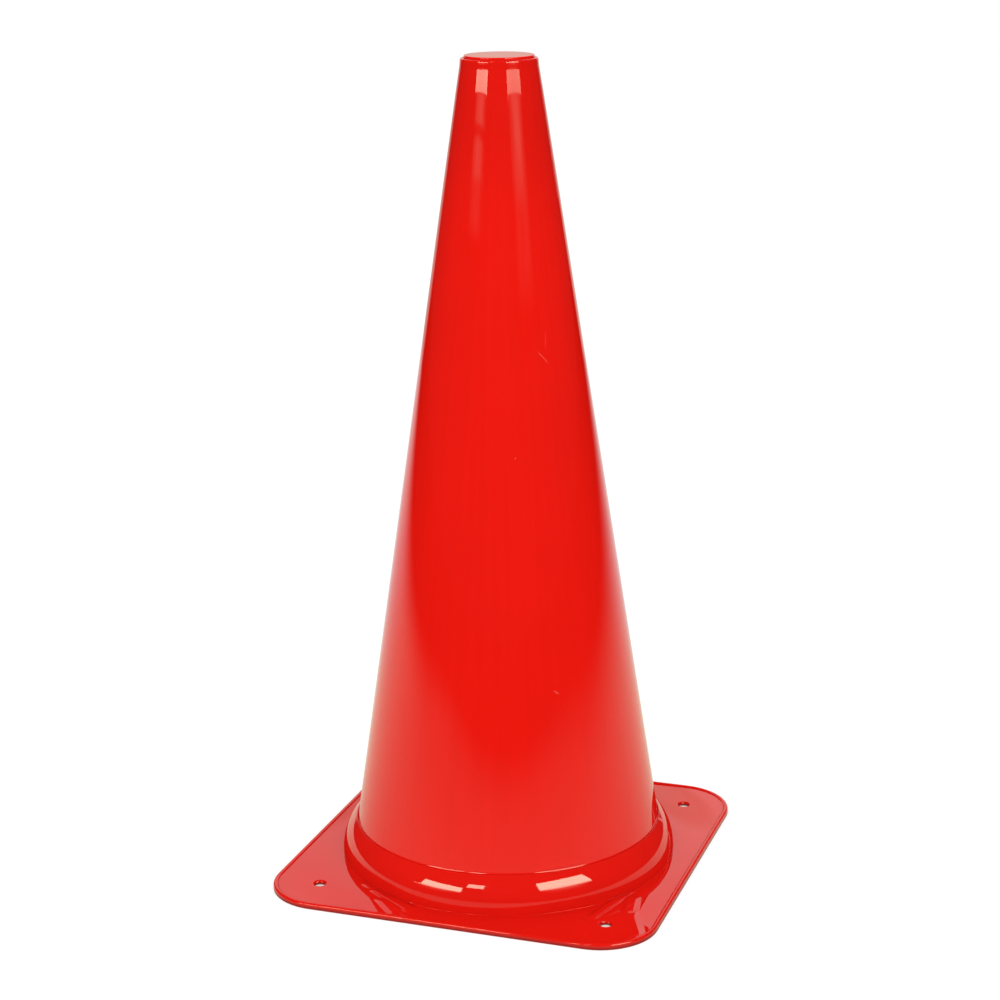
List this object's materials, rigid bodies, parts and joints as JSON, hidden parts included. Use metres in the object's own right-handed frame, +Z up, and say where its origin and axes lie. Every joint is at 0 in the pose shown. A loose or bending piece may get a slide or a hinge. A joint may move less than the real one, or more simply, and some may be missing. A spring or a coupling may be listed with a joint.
{
  "type": "sports marker cone",
  "caption": "Tall hollow training cone with a closed top, a square base with a raised collar, an edge bead and corner holes.",
  "frame": {"origin": "on the floor, on the cone's axis", "axes": "+Z up along the cone's axis, X and Y along the sides of the square base"},
  "size_m": [0.1854, 0.1854, 0.38],
  "materials": {
    "cone_plastic": "glossy moulded plastic",
    "base_plastic": "glossy moulded plastic",
    "cap_plastic": "glossy moulded plastic"
  },
  "bodies": {
    "root": {"cone_shell": "cone_plastic", "base_plate": "base_plastic", "top_cap": "cap_plastic"}
  },
  "joints": []
}
